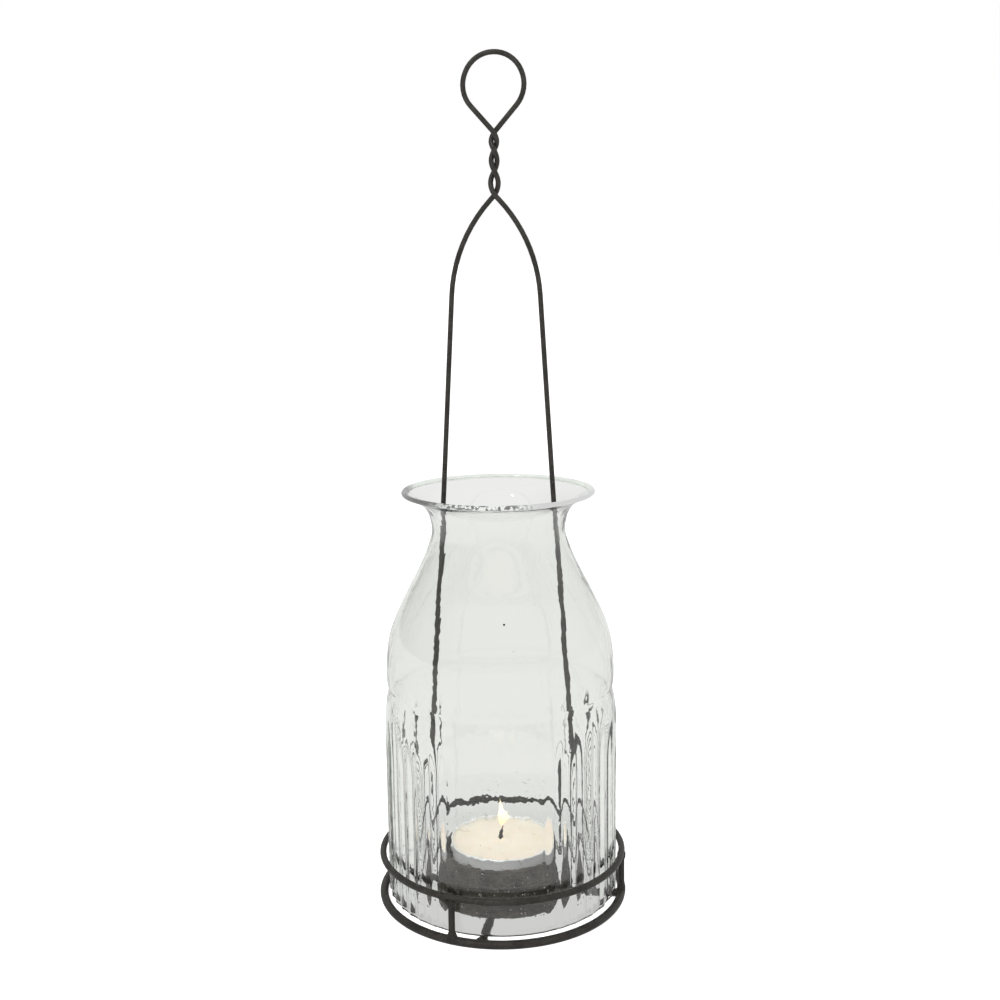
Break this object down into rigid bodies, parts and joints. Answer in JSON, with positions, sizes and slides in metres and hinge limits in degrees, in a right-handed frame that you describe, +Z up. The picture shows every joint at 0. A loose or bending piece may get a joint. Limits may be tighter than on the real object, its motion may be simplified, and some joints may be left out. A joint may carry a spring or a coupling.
{
  "type": "hanging tealight lantern",
  "caption": "Hanging tealight lantern: a fluted, open-ended blown glass chimney stands in a black wire basket with a twisted wire handle and a candle cup.",
  "frame": {"origin": "on the floor under the axis of the basket, at the bottom centre of the whole object", "axes": "+Z up along the axis of the glass and the handle; the handle's two legs lie in the XZ plane; -Y is the front"},
  "size_m": [0.0878, 0.0878, 0.2895],
  "materials": {
    "black_iron_wire": "satin",
    "black_iron_sheet": "satin",
    "seeded_glass": "gloss",
    "aluminium_foil": "satin",
    "wax": "satin",
    "wick_cotton": "matte",
    "tinned_steel": "satin"
  },
  "bodies": {
    "basket": {"lower_ring": "black_iron_wire", "upper_ring": "black_iron_wire", "post_front": "black_iron_wire", "post_right": "black_iron_wire", "post_back": "black_iron_wire", "floor_bar": "black_iron_wire", "spoke_front": "black_iron_wire", "spoke_back": "black_iron_wire", "base_plate": "black_iron_sheet", "candle_cup": "black_iron_sheet", "handle_wire": "black_iron_wire"},
    "glass": {"glass_chimney": "seeded_glass"},
    "tealight": {"tealight_cup": "aluminium_foil", "tealight_wax": "wax", "wick": "wick_cotton", "wick_sustainer": "tinned_steel"}
  },
  "joints": [
    {"name": "glass_lift", "type": "slide", "parent": "basket", "child": "glass", "axis": [0, 0, 1], "range_m": [0, 0.306]},
    {"name": "tealight_lift", "type": "slide", "parent": "basket", "child": "tealight", "axis": [0, 0, 1], "range_m": [0, 0.1]}
  ]
}
